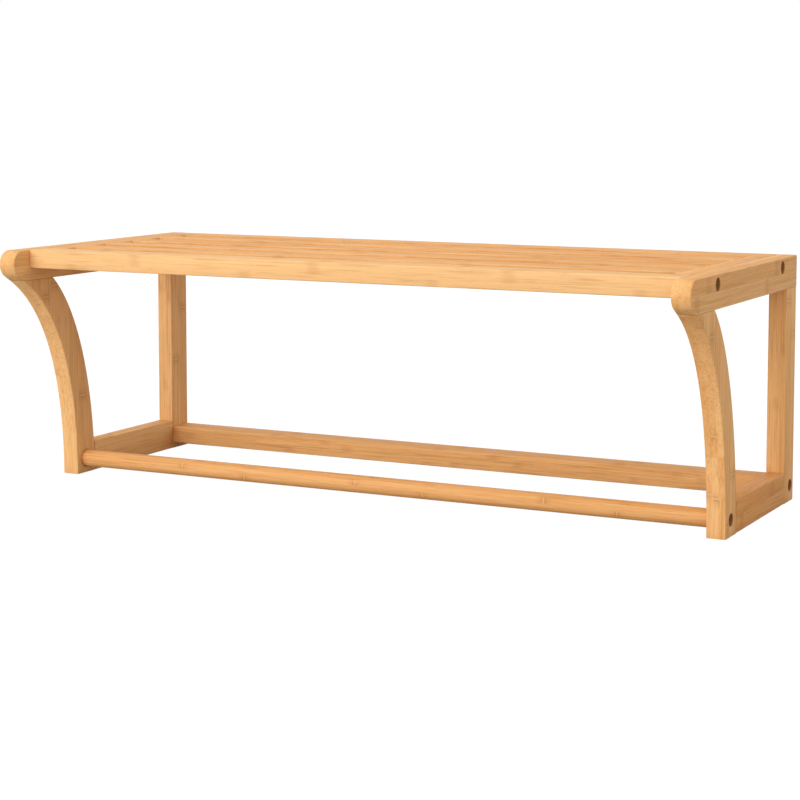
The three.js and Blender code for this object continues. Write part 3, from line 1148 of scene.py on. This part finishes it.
def make_stage(studio):
    """A pale floor and even world light, two large soft lights, and the camera."""
    deselect()
    bpy.ops.mesh.primitive_grid_add(
        x_subdivisions=2, y_subdivisions=2, size=FLOOR_SIZE, location=(0, 0, -1 * MM)
    )
    floor = settle(bpy.context.object, "studio_floor")
    floor.data.materials.append(lit_paper())
    bpy.context.scene.world = white_world(studio.sky)
    add_light("front_softbox", FRONT_LIGHT_PLACE, studio.front_light)
    add_light("top_softbox", TOP_LIGHT_PLACE, studio.top_light)

    bpy.ops.object.camera_add(location=studio.camera_place)
    camera = bpy.context.object
    camera.name = "studio_camera"
    camera.rotation_euler = Euler((math.pi / 2 - studio.camera_pitch, 0, studio.camera_yaw))
    camera.data.sensor_width = SENSOR_WIDTH
    camera.data.lens = studio.lens
    camera.data.shift_y = studio.lens_shift
    camera.data.clip_end = 60
    bpy.context.scene.camera = camera
    bpy.context.scene.view_settings.view_transform = "Standard"


def seen_directly(tree):
    """1 where a surface is seen straight on, and 0 where it only lights other things."""
    return add_node(tree, "ShaderNodeLightPath").outputs["Is Camera Ray"]


def lit_paper():
    """White studio paper, lit from behind. To the eye: a plain white floor on which shadows
    nearly vanish. As a light on the shelf it is only the pale paper."""
    material, tree, paper = new_material(
        "studio_paper_backlit", Roughness=0.9, Specular_IOR_Level=0.1, Base_Color=linear("#B4B2B0")
    )
    glow = add_node(tree, "ShaderNodeEmission", {"Color": linear("#FFFFFF"), "Strength": 1.15})
    share = arithmetic(tree, "MULTIPLY", seen_directly(tree), BACKLIGHT_SHARE)
    mixed = add_node(
        tree, "ShaderNodeMixShader", _0=share, _1=paper.outputs[0], _2=glow.outputs[0]
    )
    tree.links.new(mixed.outputs[0], tree.nodes["Material Output"].inputs["Surface"])
    return material


def white_world(sky):
    """Even white light from all round, in front of a white background."""
    world = bpy.data.worlds.new("studio_world")
    world.use_nodes = True
    tree = world.node_tree
    background = tree.nodes["Background"]
    background.inputs["Color"].default_value = linear("#FFFFFF")
    strength = ramp(tree, seen_directly(tree), 0.0, 1.0, sky, 1.0)
    tree.links.new(strength, background.inputs["Strength"])
    return world


def add_light(name, place, power):
    """A square softbox that faces the shelf."""
    deselect()
    bpy.ops.object.light_add(type="AREA", location=place)
    light = bpy.context.object
    light.name = name
    light.data.shape = "SQUARE"
    light.data.size = LIGHT_SIZE
    light.data.energy = power
    away = Vector(place) - Vector(LIGHT_TARGET)
    light.rotation_euler = away.to_track_quat("Z", "Y").to_euler()


# ---- Operators and panel ----------------------------------------------------------------------


class SHELF_OT_slats(bpy.types.Operator):
    """Make the deck's slats"""

    bl_idname = "shelf.slats"
    bl_label = "Deck slats"

    def execute(self, context):
        make_slats(context.scene.shelf_sizes)
        return {"FINISHED"}


class SHELF_OT_battens(bpy.types.Operator):
    """Make the battens across the slats' ends"""

    bl_idname = "shelf.battens"
    bl_label = "Deck battens"

    def execute(self, context):
        make_battens(context.scene.shelf_sizes)
        return {"FINISHED"}


class SHELF_OT_top_rails(bpy.types.Operator):
    """Make the round-nosed top rails"""

    bl_idname = "shelf.top_rails"
    bl_label = "Top rails"

    def execute(self, context):
        make_top_rails(context.scene.shelf_sizes)
        return {"FINISHED"}


class SHELF_OT_front_legs(bpy.types.Operator):
    """Make the swept front legs"""

    bl_idname = "shelf.front_legs"
    bl_label = "Front legs"

    def execute(self, context):
        make_front_legs(context.scene.shelf_sizes)
        return {"FINISHED"}


class SHELF_OT_rear_posts(bpy.types.Operator):
    """Make the rear posts with their keyholes"""

    bl_idname = "shelf.rear_posts"
    bl_label = "Rear posts"

    def execute(self, context):
        make_rear_posts(context.scene.shelf_sizes)
        return {"FINISHED"}


class SHELF_OT_lower_rails(bpy.types.Operator):
    """Make the lower rails of the side frames and the flat rail behind"""

    bl_idname = "shelf.lower_rails"
    bl_label = "Lower rails"

    def execute(self, context):
        make_lower_rails(context.scene.shelf_sizes)
        return {"FINISHED"}


class SHELF_OT_towel_rail(bpy.types.Operator):
    """Make the round towel rail"""

    bl_idname = "shelf.towel_rail"
    bl_label = "Towel rail"

    def execute(self, context):
        make_towel_rail(context.scene.shelf_sizes)
        return {"FINISHED"}


class SHELF_OT_screws(bpy.types.Operator):
    """Make the sunk screws"""

    bl_idname = "shelf.screws"
    bl_label = "Screws"

    def execute(self, context):
        make_screws(context.scene.shelf_sizes)
        return {"FINISHED"}


class SHELF_OT_dowels(bpy.types.Operator):
    """Make the fluted dowels inside the joints"""

    bl_idname = "shelf.dowels"
    bl_label = "Dowels"

    def execute(self, context):
        make_dowels(context.scene.shelf_sizes)
        return {"FINISHED"}


class SHELF_OT_stage(bpy.types.Operator):
    """Set up the floor, the lights and the camera"""

    bl_idname = "shelf.stage"
    bl_label = "Studio"

    def execute(self, context):
        make_stage(context.scene.shelf_studio)
        return {"FINISHED"}


OPERATORS = (
    SHELF_OT_slats,
    SHELF_OT_battens,
    SHELF_OT_top_rails,
    SHELF_OT_front_legs,
    SHELF_OT_rear_posts,
    SHELF_OT_lower_rails,
    SHELF_OT_towel_rail,
    SHELF_OT_screws,
    SHELF_OT_dowels,
    SHELF_OT_stage,
)


class SHELF_PT_panel(bpy.types.Panel):
    """The shelf's pieces and settings"""

    bl_idname = "SHELF_PT_panel"
    bl_label = "Bamboo shelf"
    bl_space_type = "VIEW_3D"
    bl_region_type = "UI"
    bl_category = "Bamboo shelf"

    def draw(self, context):
        for operator in OPERATORS:
            self.layout.operator(operator.bl_idname)
        for name in GROUPS:
            group = getattr(context.scene, name)
            for key in group.__annotations__:
                self.layout.prop(group, key)


GROUPS = {
    "shelf_sizes": ShelfSizes,
    "bamboo_finish": BambooFinish,
    "shelf_studio": StudioSettings,
}


def register():
    for group in (*GROUPS.values(), *OPERATORS, SHELF_PT_panel):
        bpy.utils.register_class(group)
    for name, group in GROUPS.items():
        setattr(bpy.types.Scene, name, PointerProperty(type=group))


def unregister():
    for name in GROUPS:
        delattr(bpy.types.Scene, name)
    for group in reversed((*GROUPS.values(), *OPERATORS, SHELF_PT_panel)):
        bpy.utils.unregister_class(group)


def main():
    register()
    bpy.ops.shelf.stage()
    bpy.ops.shelf.slats()
    bpy.ops.shelf.battens()
    bpy.ops.shelf.top_rails()
    bpy.ops.shelf.front_legs()
    bpy.ops.shelf.rear_posts()
    bpy.ops.shelf.lower_rails()
    bpy.ops.shelf.towel_rail()
    bpy.ops.shelf.screws()
    bpy.ops.shelf.dowels()


if __name__ == "__main__":
    main()
